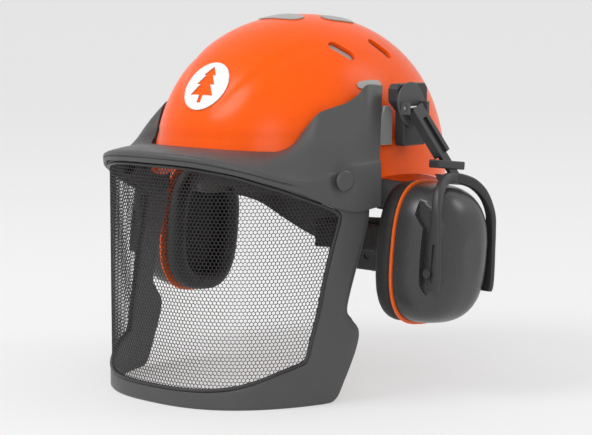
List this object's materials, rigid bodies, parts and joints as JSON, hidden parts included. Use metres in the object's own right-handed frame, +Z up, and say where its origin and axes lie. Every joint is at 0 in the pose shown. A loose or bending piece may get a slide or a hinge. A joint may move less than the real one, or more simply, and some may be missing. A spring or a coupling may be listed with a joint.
{
  "type": "forestry helmet",
  "caption": "Hard hat with harness, flip-up mesh face visor on a peaked carrier, and cup ear muffs on swinging, sliding arms.",
  "frame": {"origin": "middle of the wearer's head space, on the midline, level with the shell's brow edge", "axes": "+Z up as worn, -Y the way the wearer looks, +X the wearer's left"},
  "size_m": [0.3526, 0.3158, 0.2978],
  "materials": {
    "shell_orange": "glossy",
    "trim_orange": "satin",
    "grey_plastic": "satin",
    "light_grey_plastic": "satin",
    "black_plastic": "satin",
    "wire_mesh": "powder coated",
    "reflective_film": "beaded film",
    "white_print": "print",
    "webbing": "woven",
    "sweat_fabric": "knit",
    "cushion_skin": "soft skin",
    "foam": "open cell",
    "steel_pin": "brushed"
  },
  "bodies": {
    "helmet": {"shell": "shell_orange", "vent_insert_front_left": "reflective_film", "vent_insert_front_right": "reflective_film", "vent_insert_rear_left": "reflective_film", "vent_insert_rear_right": "reflective_film", "front_mark": "white_print", "reflector_front": "reflective_film", "reflector_crown_left": "reflective_film", "reflector_crown_right": "reflective_film", "reflector_side_left": "reflective_film", "reflector_side_right": "reflective_film", "adapter_left": "black_plastic", "adapter_right": "black_plastic", "visor_pivot_left": "black_plastic", "visor_pivot_right": "black_plastic", "headband": "black_plastic", "sweatband": "sweat_fabric", "cradle_strap_front": "webbing", "cradle_strap_middle": "webbing", "cradle_strap_rear": "webbing", "strap_hook_front_left": "black_plastic", "strap_hook_front_right": "black_plastic", "strap_hook_middle_left": "black_plastic", "strap_hook_middle_right": "black_plastic", "strap_hook_rear_left": "black_plastic", "strap_hook_rear_right": "black_plastic"},
    "visor": {"visor_carrier": "grey_plastic", "visor_frame": "grey_plastic", "mesh_screen": "wire_mesh", "mesh_bead": "black_plastic", "snap_button_left": "grey_plastic", "snap_button_right": "grey_plastic", "visor_clip_left": "light_grey_plastic", "visor_clip_right": "light_grey_plastic"},
    "nape": {"nape_strap": "black_plastic", "nape_pad": "sweat_fabric", "ratchet_housing": "black_plastic"},
    "knob": {"ratchet_knob": "black_plastic"},
    "swivel_left": {"pivot_cap_left": "grey_plastic", "hinge_pin_left": "steel_pin"},
    "arm_left": {"spring_arm_left": "black_plastic", "slide_collar_left": "black_plastic"},
    "yoke_left": {"yoke_left": "black_plastic", "cup_pin_front_left": "black_plastic", "cup_pin_rear_left": "black_plastic"},
    "muff_left": {"cup_left": "grey_plastic", "trim_ring_left": "trim_orange", "cushion_left": "cushion_skin", "foam_left": "foam"},
    "swivel_right": {"pivot_cap_right": "grey_plastic", "hinge_pin_right": "steel_pin"},
    "arm_right": {"spring_arm_right": "black_plastic", "slide_collar_right": "black_plastic"},
    "yoke_right": {"yoke_right": "black_plastic", "cup_pin_front_right": "black_plastic", "cup_pin_rear_right": "black_plastic"},
    "muff_right": {"cup_right": "grey_plastic", "trim_ring_right": "trim_orange", "cushion_right": "cushion_skin", "foam_right": "foam"}
  },
  "joints": [
    {"name": "visor_tilt", "type": "hinge", "parent": "helmet", "child": "visor", "pos_m": [0, -0.025, 0.059], "axis": [-1, 0, 0], "range_deg": [0, 65]},
    {"name": "ratchet_turn", "type": "hinge", "parent": "nape", "child": "knob", "pos_m": [0, 0.088, -0.065], "axis": [0, 1, 0], "range_deg": [-96, 115]},
    {"name": "size_adjust", "type": "slide", "parent": "helmet", "child": "nape", "axis": [0, 1, 0], "range_m": [-0.012, 0.01]},
    {"name": "muff_swivel_left", "type": "hinge", "parent": "helmet", "child": "swivel_left", "pos_m": [0.12, -0.011, 0.0755], "axis": [1, 0, 0], "range_deg": [0, 70]},
    {"name": "muff_swing_left", "type": "hinge", "parent": "swivel_left", "child": "arm_left", "pos_m": [0.1268, -0.0115, 0.0735], "axis": [0, -1, 0], "range_deg": [-5, 30]},
    {"name": "muff_slide_left", "type": "slide", "parent": "arm_left", "child": "yoke_left", "axis": [0.3576, 0.3774, -0.8542], "range_m": [0, 0.02]},
    {"name": "muff_tilt_left", "type": "hinge", "parent": "yoke_left", "child": "muff_left", "pos_m": [0.1625, -0.00509, -0.05491], "axis": [0, -0.9936, 0.1132], "range_deg": [-2, 8]},
    {"name": "muff_swivel_right", "type": "hinge", "parent": "helmet", "child": "swivel_right", "pos_m": [-0.12, -0.011, 0.0755], "axis": [1, 0, 0], "range_deg": [0, 70]},
    {"name": "muff_swing_right", "type": "hinge", "parent": "swivel_right", "child": "arm_right", "pos_m": [-0.1268, -0.0115, 0.0735], "axis": [0, 1, 0], "range_deg": [-5, 30]},
    {"name": "muff_slide_right", "type": "slide", "parent": "arm_right", "child": "yoke_right", "axis": [-0.3576, 0.3774, -0.8542], "range_m": [0, 0.02]},
    {"name": "muff_tilt_right", "type": "hinge", "parent": "yoke_right", "child": "muff_right", "pos_m": [-0.1625, -0.00509, -0.05491], "axis": [0, 0.9936, -0.1132], "range_deg": [-2, 8]}
  ],
  "couplings": [
    {"joint": "ratchet_turn", "follows": "size_adjust", "rad_per_m": -166.67}
  ]
}
